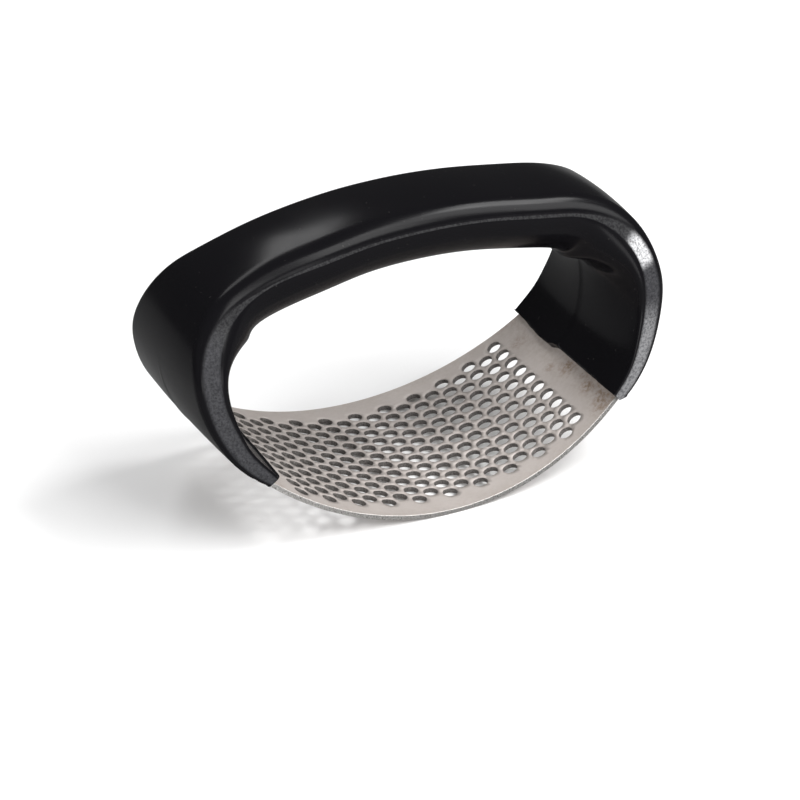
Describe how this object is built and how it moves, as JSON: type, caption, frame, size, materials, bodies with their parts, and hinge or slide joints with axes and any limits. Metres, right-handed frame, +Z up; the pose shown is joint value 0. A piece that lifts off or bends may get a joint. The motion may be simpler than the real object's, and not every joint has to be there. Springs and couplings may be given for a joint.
{
  "type": "rocker garlic press",
  "caption": "Rocker garlic press: a curved perforated steel plate held by both ends of an arched plastic handle.",
  "frame": {"origin": "lowest point of the plate's underside, under the middle of the press, where it rests", "axes": "+X along the press from tip to tip, +Y across it towards the rear half, +Z up from the plate to the handle"},
  "size_m": [0.1047, 0.051, 0.0608],
  "materials": {
    "plate": "satin stainless sheet with light tarnish",
    "handle": "black moulded plastic, smooth and semi-gloss, finely textured on the flanks"
  },
  "bodies": {
    "root": {"perforated_plate": "plate", "handle_front_half": "handle", "handle_rear_half": "handle"}
  },
  "joints": []
}
